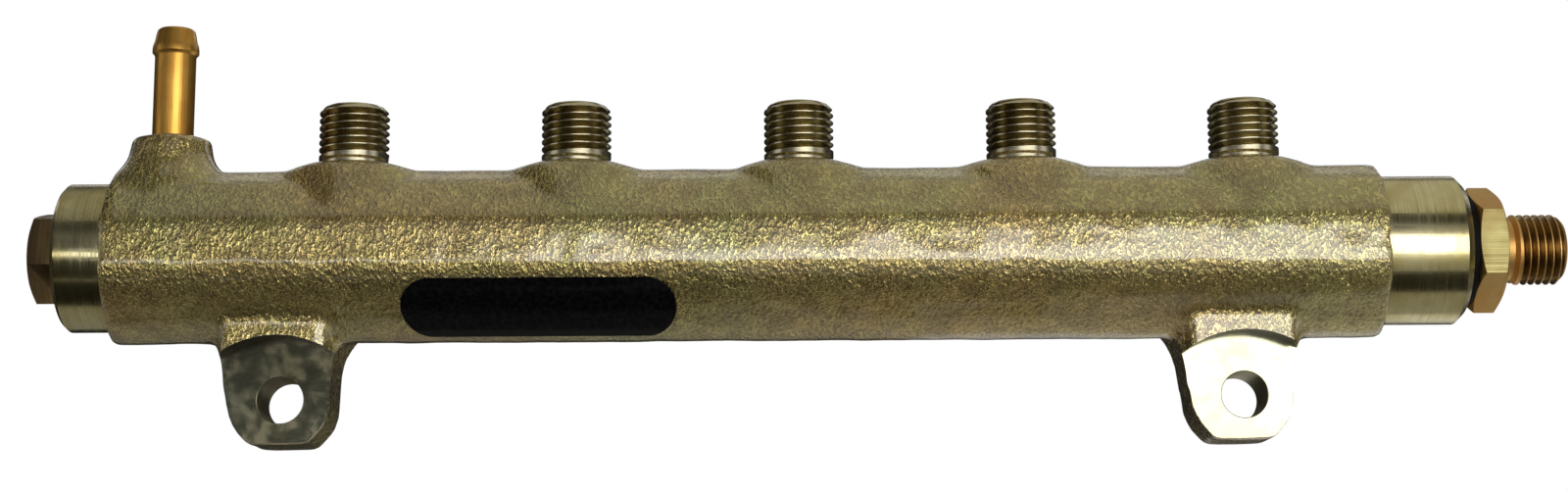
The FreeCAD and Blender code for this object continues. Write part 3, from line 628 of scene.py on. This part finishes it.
def forge_lug(name, middle):
    """A lug blank under the bar: the tapered lug, and a straight block that stands proud of it."""
    low = BOLT_UP - LUG_REACH
    outline = [
        (middle - 18.1, -11.1), (middle - 12.1, -19.6), (middle - 10.1, low + 4.4), (middle - 6.2, low),
        (middle + 5.5, low), (middle + 9.4, low + 4.4), (middle + 10.4, -19.6), (middle + 16.4, -11.1),
    ]
    corners = [at(along, 4.0, up) for along, up in outline]
    lug = outlined(name, corners, (0, 14.5 * MM, 0))
    edit(lug)
    middle_up, root = at(0, 0, -30.0).z, at(0, 0, -17.0).z
    foot = at(0, 0, low + 2).z
    choose_edges(lug, lambda a, b: abs(a.y - b.y) > 0.01 and foot < a.z < middle_up)
    bpy.ops.mesh.bevel(offset=2.6 * MM, segments=8, affect="EDGES")
    choose_edges(lug, lambda a, b: abs(a.y - b.y) > 0.01 and middle_up < a.z < root)
    bpy.ops.mesh.bevel(offset=2.4 * MM, segments=6, affect="EDGES")
    close(lug)
    left, right = middle - 11.3, middle + 9.6
    outline = [(left, -9.0), (left, -27.0), (right, -27.0), (right, -9.0)]
    block = outlined("block", [at(along, 8.6, up) for along, up in outline], (0, 6.6 * MM, 0))
    return [lug, block]


lugs = forge_lug("lug_left", BOLTS[0]) + forge_lug("lug_right", BOLTS[1])
print("lugs:", [len(lug.data.polygons) for lug in lugs])

# %% [markdown]
# Struck together, these become one body. A voxel remesh fuses them as hot steel would, and smoothing
# rounds every inner corner. A gentle displacement takes the straightness out of the surfaces.

# %% One forging
def strike(pieces):
    """Fuses the blanks into one forging with soft corners and slightly uneven sides."""
    forging = joined("rail_forging", pieces)
    fuse = forging.modifiers.new("Fuse", "REMESH")
    fuse.mode = "VOXEL"
    fuse.voxel_size = 0.8 * MM
    soften = forging.modifiers.new("Soften", "SMOOTH")
    soften.factor = 0.5
    soften.iterations = 9
    wander = bpy.data.textures.new("forging_wander", "CLOUDS")
    wander.noise_scale = 9 * MM
    uneven = forging.modifiers.new("Uneven", "DISPLACE")
    uneven.texture = wander
    uneven.texture_coords = "LOCAL"
    uneven.strength = 0.35 * MM
    uneven.mid_level = 0.5
    apply_all(forging)
    forging.data.materials.clear()
    forging.data.materials.append(FORGING)
    return forging


rail = strike([bar, boss, *pads, *lugs])
print("forging:", len(rail.data.polygons), "faces")

# %% [markdown]
# ## Machining
# Both ends are turned to a cylinder, and each port is turned to a stub with a narrow neck and a
# chamfered top. The thread is cut by a V-shaped tool that climbs 1.5 mm each turn: a small triangle
# with a Screw modifier is exactly that tool's path. The ends come first.

# %% Turned ends
def turn_ends():
    """The turned cylinders at both ends."""
    ends = []
    left = ("end_left", BLANK_LEFT + 6, FACE_LEFT, 0.8)
    right = ("end_right", BLANK_RIGHT - 6, FACE_RIGHT, -1.5)
    for name, root, face, chamfer in (left, right):
        rim = TURNED_RADIUS - abs(chamfer)
        steps = [(root, TURNED_RADIUS), (face + chamfer, TURNED_RADIUS), (face, rim)]
        end = turned(name, at(0), "along", steps, 128)
        end.data.materials.append(TURNED_ENDS)
        ends.append(end)
    return ends


ends = turn_ends()
print("ends:", [len(end.data.polygons) for end in ends])

# %% [markdown]
# A metric thread has flanks at 60 degrees and a depth of 0.6134 times its pitch. The cutter stands a
# little proud of the stub, so that it leaves no skin on the crests.

# %% Thread cutter
THREAD_RADIUS, THREAD_PITCH = 7.0, 1.5
THREAD_TIP = THREAD_RADIUS - 0.6134 * THREAD_PITCH
PROUD = 0.08


def thread_cutter(name, centre, way, start, turns):
    """A V-shaped cutter that climbs round an axis, from a distance along it."""
    half = THREAD_PITCH * 7 / 16 + PROUD * math.tan(math.radians(30))
    rim = THREAD_RADIUS + PROUD
    corners = [(rim, start - half), (rim, start + half), (THREAD_TIP, start)]
    bpy.ops.mesh.primitive_circle_add(vertices=3, radius=MM, location=centre, rotation=TURNS[way])
    cutter = named(name)
    for vertex, (out, along) in zip(cutter.data.vertices, corners):
        vertex.co = (out * MM, 0, along * MM)
    climb = cutter.modifiers.new("Climb", "SCREW")
    climb.screw_offset = THREAD_PITCH * MM
    climb.iterations = turns
    climb.steps = 60
    climb.render_steps = 60
    apply_all(cutter)
    edit(cutter)
    bpy.ops.mesh.fill_holes(sides=0)
    return close(cutter)


print("thread cutter ready, its tip", round(THREAD_TIP, 3), "mm from the axis")

# %% [markdown]
# One port is turned and threaded, with its cone and drilling, and copied to the other four places.
# Each copy stays a piece beside the forging, because fine threads and a rough body don't cut well
# together. It stands a little way inside the pad.

# %% Threaded ports
def turn_port():
    """One port: neck, thread and chamfered top."""
    steps = [
        (16.0, 1.25), (16.0, 6.5), (19.1, 6.5), (19.6, 7.0), (29.3, 7.0), (30.35, 5.95), (30.5, 5.6),
        (30.5, 5.15), (30.4, 5.0), (24.0, 1.25), (16.0, 1.25),
    ]
    port = turned("port_1", at(PORTS[0]), "up", steps, 96)
    port.data.materials.append(TURNED_UP)
    cutter = thread_cutter("port_cutter", at(PORTS[0]), "up", 20.0, 7)
    cutter.data.materials.append(THREAD)
    return finished(worked(port, cutter, "DIFFERENCE"))


port = turn_port()
ports = [port] + [copied(port, f"port_{i}", PORTS[i - 1] - PORTS[0]) for i in range(2, 6)]
for port in ports:
    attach(port, "rail")
    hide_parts("rail_body")
rail = worked(rail, joined("ends", ends), "UNION")
print("ports:", [len(port.data.polygons) for port in ports], "rail with ends:", len(rail.data.polygons))

# %% [markdown]
# Next come the cuts that overlap none of the others: the bore through the rail, the facing of both
# lugs and their flat backs. The facing cutter is a 40 mm disc, and its rim leaves the crescent step
# above each bolt hole, whose wall is coloured nearly black as painted shade.

# %% Bore, lug faces and seats
LUG_FRONT, LUG_BACK = 3.0, -9.5


def bore_cutter():
    """The bore with its two wider mouths."""
    steps = [
        (FACE_LEFT - 1, 8.35), (FACE_LEFT, 8.35), (FACE_LEFT + 0.3, 8.05), (FACE_LEFT + 12, 8.05),
        (FACE_LEFT + 12.5, 7.5), (FACE_LEFT + 28, 7.5), (FACE_LEFT + 28, 5.0), (FACE_RIGHT - 15.8, 5.0),
        (FACE_RIGHT - 14, 8.05), (FACE_RIGHT - 0.3, 8.05), (FACE_RIGHT, 8.35), (FACE_RIGHT + 1, 8.35),
    ]
    cutter = turned("bore_cutter", at(0), "along", steps, 64)
    cutter.data.materials.append(BORED)
    return cutter


def facing_cutters(middle):
    """The disc that faces a lug, and the plate that flattens its back."""
    steps = [(-16.0, FACING_RADIUS), (0.0, FACING_RADIUS)]
    face = turned("facing", at(middle, LUG_FRONT, BOLT_UP - FACING_DROP), "back", steps, 160)
    outline = [(middle - 25, -18.6), (middle + 25, -18.6), (middle + 25, -45), (middle - 25, -45)]
    back = outlined("seating", [at(along, LUG_BACK, up) for along, up in outline], (0, 5 * MM, 0))
    for cutter in (face, back):
        cutter.data.materials.append(MILLED)
    # The disc's rim gives the step wall its nearly black colour, which is painted shade.
    face.data.materials.append(STEP_PAINTED_SHADE)
    for polygon in face.data.polygons:
        polygon.material_index = 0 if abs(polygon.normal.y) > 0.5 else 1
    return [face, back]


cutters = [bore_cutter()] + facing_cutters(BOLTS[0]) + facing_cutters(BOLTS[1])
rail = worked(rail, joined("first_cuts", cutters), "DIFFERENCE")
print("after the first cuts:", len(rail.data.polygons), "faces")

# %% [markdown]
# The drills come last. A fine drilling leads from the bore up to each port, the boss gets the barb's
# bore, and the bolt holes have a small chamfer.

# %% Drillings
def port_drill(place):
    """The drilling between the bore and a port."""
    drill = turned("port_drill", at(place), "up", [(3.0, 1.25), (22.0, 1.25)], 32)
    drill.data.materials.append(TURNED_UP)
    return drill


def bolt_drill(place):
    """A bolt hole with its front edge broken."""
    steps = [(-2.0, 4.75), (0.0, 4.75), (0.15, 4.6), (13.5, 4.6)]
    drill = turned("bolt_drill", at(place, LUG_FRONT, BOLT_UP), "back", steps, 96)
    drill.data.materials.append(BORED)
    return drill


barb_steps = [(3.0, 2.0), (16.2, 2.0), (16.2, 4.08), (26.0, 4.08)]
barb_drill = turned("barb_drill", at(BARB), "up", barb_steps, 64)
barb_drill.data.materials.append(TURNED_UP)
drills = [barb_drill] + [port_drill(place) for place in PORTS] + [bolt_drill(place) for place in BOLTS]
rail = worked(rail, joined("drills", drills), "DIFFERENCE")
finished(rail)
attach(rail, "rail")
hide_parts("rail_body")
print("rail:", len(rail.data.polygons), "faces,", len(rail.data.materials), "finishes")

# %% [markdown]
# ## The return barb
# The barb is drawn and turned brass, pressed into the boss. A hose is pushed over its bead. Brass is
# soft and warm in colour. Drawing left long faint scratches along it, so the marks count distance
# across the barb, and a brown tarnish drifts over it.

# %% Brass barb
def brass_finish():
    """Drawn brass with lengthwise scratches and tarnish."""
    material, tree, shader, place = new_metal("brass_turned", 0.9)
    across = add(tree, "SeparateXYZ", [(0, place)]).outputs["X"]
    marks = effect(tree, MARKS, Place=place, Distance=across, Feed=0.45)
    stains = effect(tree, STAINS, Place=place, Drift_size=7.0)
    colour = tint(tree, stains["Drift"], (0.62, 0.35, 0.075), (0.52, 0.26, 0.045))
    colour = tint(tree, maths(tree, "MULTIPLY", marks["Streaks"], 0.6), colour, (0.38, 0.17, 0.03))
    tree.links.new(colour, shader.inputs["Base Color"])
    rough = spread(tree, marks["Streaks"], 0.0, 1.0, 0.32, 0.46)
    tree.links.new(rough, shader.inputs["Roughness"])
    bump(tree, shader, marks["Height"], 0.5, 0.02)
    return material


def make_barb():
    """The barb with its bead, bored through."""
    steps = [
        (16.2, 4.1), (41.3, 4.1), (41.7, 4.3), (42.05, 4.65), (42.9, 4.65), (43.7, 4.5), (44.6, 4.2),
        (46.0, 3.95), (46.7, 3.75), (47.0, 3.4), (47.0, 2.5), (16.2, 2.5), (16.2, 4.1),
    ]
    return turned("brass_barb", at(BARB), "up", steps, 128)


BRASS = brass_finish()
barb = finished(make_barb(), BRASS)
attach(barb, "rail")
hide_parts("hose_barb")
print("barb:", len(barb.data.polygons), "faces")

# %% [markdown]
# ## The two end pieces
# A hexagon is six corners pushed out to a length. Its points are then turned off at a flat angle, which
# gives the curved edges of a real nut: the prism keeps what it shares with a chamfered cylinder.

# %% A hexagon with its points turned off
def hexagon(name, left, right, flats, turn, chamfered):
    """A hexagonal head along the bore, with its points taken off at the ends that are named."""
    corner = flats / math.sqrt(3)
    angles = [math.radians(turn + 60 * i) for i in range(6)]
    corners = [at(left, -corner * math.cos(angle), corner * math.sin(angle)) for angle in angles]
    head = outlined(name, corners, ((right - left) * MM, 0, 0))
    flat = flats / 2 - 0.3
    depth = (corner - flat) * math.tan(math.radians(24))
    steps = [(left, flat), (left + depth, corner)] if "left" in chamfered else [(left, corner + 1)]
    steps += [(left + depth + 0.1, corner + 1), (right - depth - 0.1, corner + 1)]
    steps += [(right - depth, corner), (right, flat)] if "right" in chamfered else [(right, corner + 1)]
    return worked(head, turned("points", at(0), "along", steps, 128), "INTERSECT")


print("hexagon tool ready")

# %% [markdown]
# **Relief valve.** Only its dark hexagon shows. The shank goes deep into the rail, with a groove for
# its rubber ring and a bore for the spring and plunger, which come further down.

# %% Relief valve housing
def make_valve():
    """The valve's housing: head, shank, ring groove and bore."""
    head = hexagon("valve_housing", FACE_LEFT - 6.2, FACE_LEFT, 17.0, 15.7, ["left"])
    steps = [
        (-0.5, 8.0), (11.4, 8.0), (12.0, 7.35), (13.0, 7.35), (13.0, 5.7), (15.5, 5.7), (15.5, 7.35),
        (16.6, 7.35), (17.75, 6.2), (28.0, 6.2), (28.0, 4.0), (3.0, 4.0), (3.0, 0.4), (-0.5, 0.4),
        (-0.5, 8.0),
    ]
    shank = turned("shank", at(0), "along", from_face(FACE_LEFT, steps), 96)
    return worked(head, shank, "UNION")


VALVE_STEEL = lathe_finish(
    "valve_steel", "along", (0.38, 0.27, 0.13), (0.24, 0.16, 0.075), 0.3, 0.30, 0.01
)
valve = finished(eased(make_valve(), 0.18, 2), VALVE_STEEL)
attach(valve, "rail")
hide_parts("relief_valve_body")
print("valve:", len(valve.data.polygons), "faces")

# %% [markdown]
# ** Supply fitting.** Hexagon, thin neck and a threaded stub with a cone inside for the supply pipe.
# Its plating is a clear yellow on the hexagon and brown where the thread has held the bath. The flats
# that face front and back get level lines, a duller finish and a darker colour: painted shade that
# tones down the bright front flat.

# %% Supply fitting
def make_fitting():
    """The fitting with its outer thread cut."""
    face = FACE_RIGHT
    steps = [
        (-14.0, 7.2), (-13.2, 8.0), (-1.3, 8.0), (-0.2, 6.9), (7.5, 6.9), (7.5, 6.2), (10.0, 6.2),
        (10.8, 7.0), (19.1, 7.0), (20.4, 5.7), (20.4, 4.8), (14.68, 1.5), (-14.0, 1.5), (-14.0, 7.2),
    ]
    stub = turned("fitting_stub", at(0), "along", from_face(face, steps), 96)
    cutter = thread_cutter("fitting_cutter", at(0), "along", face + 10.9, 7)
    cutter.data.materials.append(FITTING_THREAD)
    stub.data.materials.append(FITTING_STEEL)
    stub = worked(stub, cutter, "DIFFERENCE")
    head = hexagon("supply_fitting", face + 1.8, face + 7.5, 22.0, 30.0, ["left", "right"])
    eased(head, 0.2, 3)
    head.data.materials.clear()
    head.data.materials.append(FITTING_STEEL)
    head.data.materials.append(FITTING_FLAT_PAINTED_SHADE)
    # The flats facing front and back take the darker finish, which is painted shade.
    for polygon in head.data.polygons:
        polygon.material_index = 1 if abs(polygon.normal.y) > 0.98 else 0
    drill = turned("fitting_drill", at(0), "along", [(face, 6.5), (face + 9, 6.5)], 96)
    head = worked(head, drill, "DIFFERENCE")
    return joined("supply_fitting", [head, stub])


FITTING_STEEL = lathe_finish(
    "fitting_yellow", "along", (0.60, 0.43, 0.17), (0.58, 0.31, 0.09), 0.25, 0.46, 0.01
)
# A darker, duller finish for the front and back flats: painted shade.
FITTING_FLAT_PAINTED_SHADE = lathe_finish(
    "fitting_flat_painted_shade", "up", (0.36, 0.33, 0.14), (0.28, 0.21, 0.08), 0.5, 0.42, 0.02
)
FITTING_THREAD = lathe_finish(
    "fitting_thread", "along", (0.44, 0.32, 0.16), (0.24, 0.15, 0.06), 0.15, 0.26, 0.008
)
fitting = finished(make_fitting())
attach(fitting, "rail")
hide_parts("end_fitting")
print("fitting:", len(fitting.data.polygons), "faces")

# %% [markdown]
# ## Rubber, badge and hidden steel
# The seal is a dull black ring, and the badge a gloss black plate. One recipe serves both, with its
# own roughness: a nearly black colour, a little dust in clouds, and a weak shine.

# %% Black finishes
def black_finish(name, colour, roughness, depth):
    """Rubber or gloss plastic with fine dust on it."""
    material, tree, shader, place = new_metal(name, 0.0)
    stains = effect(tree, STAINS, Place=place, Drift_size=6.0)
    dusty = tint(tree, maths(tree, "MULTIPLY", stains["Clouds"], 0.15), colour, (0.02, 0.02, 0.018))
    tree.links.new(dusty, shader.inputs["Base Color"])
    rough = spread(tree, stains["Drift"], 0.0, 1.0, roughness, roughness + 0.08)
    tree.links.new(rough, shader.inputs["Roughness"])
    shader.inputs["Specular IOR Level"].default_value = 0.07
    bump(tree, shader, noise(tree, place, 1800.0, 2.0), 0.3, depth)
    return material


RUBBER = black_finish("seal_rubber", (0.004, 0.004, 0.004), 0.60, 0.03)
GLOSS = black_finish("badge_gloss", (0.0015, 0.0015, 0.002), 0.10, 0.001)
print("made", RUBBER.name, GLOSS.name)

# %% [markdown]
# The seal is pinched between rail and hexagon, so its outer edge bulges a little. The badge is bare
# and follows the forging. Its CAD mesh is loose triangles, so a copy is merged and its rim is rounded.

# %% Seal and badge
def make_seal():
    """The seal with a slightly bulged rim."""
    steps = [
        (0, 8.1), (0, 11.0), (0.25, 11.3), (0.6, 11.5), (1.2, 11.5), (1.55, 11.3), (1.8, 11.0),
        (1.8, 8.1), (0, 8.1),
    ]
    return turned("seal_ring", at(0), "along", from_face(FACE_RIGHT, steps), 128)


def make_badge():
    """The bare plate, from a merged copy of its CAD mesh, with a rounded rim."""
    pick(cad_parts["badge"])
    bpy.ops.object.duplicate()
    plate = named("badge_plate")
    edit(plate)
    bpy.ops.mesh.remove_doubles(threshold=1e-6)
    bpy.ops.mesh.dissolve_limited(angle_limit=math.radians(3))
    bpy.ops.object.mode_set(mode="OBJECT")
    return eased(plate, 0.14, 3)


seal = finished(make_seal(), RUBBER)
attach(seal, "rail")
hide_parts("fitting_seal_washer")
badge = finished(make_badge(), GLOSS)
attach(badge, "rail")
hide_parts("badge")
print("seal and badge:", len(seal.data.polygons), len(badge.data.polygons), "faces")

# %% [markdown]
# The valve's inside can't be seen, yet an exploded view would show it. Its pieces keep the CAD's own
# meshes, all but the spring. Ground steel goes on the hard ones, and rubber on the ring.

# %% Hidden pieces
GROUND = lathe_finish("ground_steel", "along", (0.62, 0.62, 0.60), (0.46, 0.46, 0.45), 0.12, 0.20, 0.004)
for name in ("relief_valve_seat", "relief_valve_plunger", "relief_valve_spring", "relief_valve_shim"):
    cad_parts[name].data.materials[0] = GROUND
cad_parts["relief_valve_o_ring"].data.materials[0] = RUBBER
print("hidden pieces finished")

# %% [markdown]
# ** Spring.** Fuel lifts the plunger against it, so the spring has to shorten with the joint, which no
# rigid piece does. It is wound as a piece of its own: a small ring beside the bore is screwed along it.

# %% Spring
SPRING_START, SPRING_HEIGHT, SPRING_TURNS = -141.2, 13.18, 6
SPRING_RADIUS, WIRE_RADIUS = 2.9, 0.78


def wind_spring():
    """A coil of round wire, wound along the bore."""
    bpy.ops.mesh.primitive_circle_add(vertices=12, radius=WIRE_RADIUS * MM, location=at(SPRING_START))
    piece = named("valve_spring")
    edit(piece)
    bpy.ops.transform.rotate(value=math.pi / 2, orient_axis="X", center_override=at(SPRING_START))
    bpy.ops.transform.translate(value=(0, 0, SPRING_RADIUS * MM))
    bpy.ops.object.mode_set(mode="OBJECT")
    winding = piece.modifiers.new("winding", "SCREW")
    winding.axis = "X"
    winding.angle = SPRING_TURNS * math.tau
    winding.screw_offset = SPRING_HEIGHT * MM
    winding.steps = SPRING_TURNS * 28
    winding.render_steps = winding.steps
    apply_all(piece)
    edit(piece)
    bpy.ops.mesh.fill_holes(sides=0)
    return close(piece)


spring = finished(wind_spring(), GROUND)
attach(spring, "rail")
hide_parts("relief_valve_spring")
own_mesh(spring)
print("spring:", len(spring.data.polygons), "faces")

# %% [markdown]
# ## Studio
# The picture was taken from a little below, looking up about ten degrees. The background is pure
# white, and comes from a wall that the camera, mirrors and glass see as white. It shines on nothing
# else. Metal shows what stands round it, so the boards and lights matter as much as the finish.

# %% Floor and wall
PALE = (0.80, 0.80, 0.79)
LYING, UPRIGHT = (0, 0, 0), (math.pi / 2, 0, 0)


def stage_board(name, size, place, turn, colour, white=False):
    """A board of the studio, pale or dark, or pure white to the eye."""
    bpy.ops.mesh.primitive_plane_add(size=1, location=place, rotation=turn)
    board = named(name)
    board.scale = (*size, 1)
    bpy.ops.object.transform_apply(location=True, rotation=True, scale=True)
    material = bpy.data.materials.new(name)
    material.use_nodes = True
    tree = material.node_tree
    paper = tree.nodes["Principled BSDF"]
    paper.inputs["Base Color"].default_value = (*colour, 1)
    paper.inputs["Roughness"].default_value = 0.9
    if white:
        rays = add(tree, "LightPath").outputs
        seen = maths(tree, "MAXIMUM", rays["Is Camera Ray"], rays["Is Glossy Ray"])
        seen = maths(tree, "MAXIMUM", seen, rays["Is Transmission Ray"])
        glow = add(tree, "Emission")
        mixed = add(tree, "MixShader", [(0, seen), (1, paper.outputs[0]), (2, glow.outputs[0])])
        tree.links.new(mixed.outputs[0], tree.nodes["Material Output"].inputs[0])
    board.data.materials.append(material)
    return board


stage_board("floor", (6, 6), (0, 0, -0.25), LYING, PALE)
stage_board("wall", (3.4, 1.2), (0, 1.2, 0.35), UPRIGHT, PALE, white=True)
print("floor and wall up")

# %% [markdown]
# Slopes that look down mirror the floor. In the picture they are dark, so black boards lie on the floor
# under and before the rail, with a grey one on the right, where the rail is brighter. A dark card
# stands behind. They work like a photographer's flags: the metal sees them, while the camera doesn't
# and they throw no shadow.

# %% Flags
BLACK = (0.02, 0.02, 0.02)
GREY = (0.46, 0.45, 0.38)
SLANT = (0, 0, -0.058)
BOARDS = [
    ("flag", (2.4, 0.24), (0, -0.188, -0.235), SLANT, BLACK),
    ("front_flag", (1.3, 1.3), (-0.7, -0.944, -0.235), SLANT, BLACK),
    ("grey_board", (1.3, 1.3), (0.62, -1.021, -0.235), SLANT, GREY),
    ("card", (1.8, 0.46), (0, 0.40, 0.04), UPRIGHT, BLACK),
    ("rear_flag", (0.44, 0.036), (-0.13, -0.05, -0.234), (0, 0, -0.03), BLACK),
]
for plan in BOARDS:
    dark = stage_board(*plan)
    dark.visible_camera = False
    dark.visible_shadow = False
    dark.visible_diffuse = False
print("dark boards:", ", ".join(plan[0] for plan in BOARDS))

# %% [markdown]
# Three lights stand behind the camera: a low thin strip on the left, a taller one in the middle and a
# large box on the right, which is why the metal gets brighter that way. A weak fill hangs above them
# and a warm soft light over the rail. One light looks up from below behind the lugs, and one stands at
# each side.

# %% Lights
AHEAD = -0.9
AIM_UP = 0.03


def soft_light(name, place, size, watts, aim):
    """A rectangular light that looks at a place."""
    bpy.ops.object.light_add(type="AREA", location=place)
    light = bpy.context.object
    light.name = name
    light.data.shape = "RECTANGLE"
    light.data.size, light.data.size_y = size
    light.data.energy = watts
    light.visible_camera = False
    light.rotation_euler = (Vector(aim) - Vector(place)).to_track_quat("-Z", "Y").to_euler()
    return light


soft_light("left_strip", (-0.55, AHEAD, -0.012), (0.75, 0.086), 0.6, (-0.55, 0, AIM_UP))
soft_light("middle_strip", (0.0, AHEAD, 0.05), (0.28, 0.26), 1.0, (-0.02, 0, AIM_UP))
soft_light("fill", (0.25, AHEAD, 0.36), (1.1, 0.36), 0.35, (0.25, 0, AIM_UP))
soft_light("right_box", (0.53, AHEAD, 0.02), (0.80, 0.43), 4.8, (0.53, 0, AIM_UP))
overhead = soft_light("overhead", (0.4, 0, 0.9), (1.6, 1.5), 3.9, (0.4, 0, 0))
overhead.data.color = (1, 0.95, 0.76)
soft_light("under", (0.35, 0.26, -0.2), (0.6, 0.45), 0.4, (0.35, 0.1, AIM_UP))
for name, side in (("side_left", -1.2), ("side_right", 1.2)):
    soft_light(name, (side, -0.35, 0.15), (0.5, 0.8), 1.0, (0, 0, AIM_UP))
world = bpy.data.worlds.new("studio")
bpy.context.scene.world = world
world.use_nodes = True
world.node_tree.nodes["Background"].inputs[0].default_value = (0.05, 0.05, 0.05, 1)
bpy.context.scene.view_settings.view_transform = "Standard"

# %% [markdown]
# The camera's tilt, distance and lens were found from the photograph: half a metre away, looking up
# ten degrees, and rolled by a third of a degree.

# %% Camera
DISTANCE = 0.5
LENS = 57.375


def set_camera():
    """The camera at the photograph's viewing angle."""
    tilt = math.radians(10.0)
    roll = math.radians(0.35)
    look = Vector((0, math.cos(tilt), math.sin(tilt)))
    upright = Vector((0, -math.sin(tilt), math.cos(tilt)))
    target = Vector((4.45, -9.5, 29.0)) * MM + upright * 1.9 * MM
    right = Vector((1, 0, 0)) * math.cos(roll) - upright * math.sin(roll)
    above = upright * math.cos(roll) + Vector((1, 0, 0)) * math.sin(roll)
    bpy.ops.object.camera_add(location=target - look * DISTANCE)
    camera = bpy.context.object
    turn = Matrix((right, above, -look)).transposed()
    camera.rotation_euler = turn.to_euler()
    camera.data.lens = LENS
    camera.data.sensor_width = 36
    camera.data.sensor_fit = "HORIZONTAL"
    camera.data.clip_start = 0.01
    bpy.context.scene.camera = camera
    return camera


camera = set_camera()
print("camera at", tuple(round(number, 4) for number in camera.location))
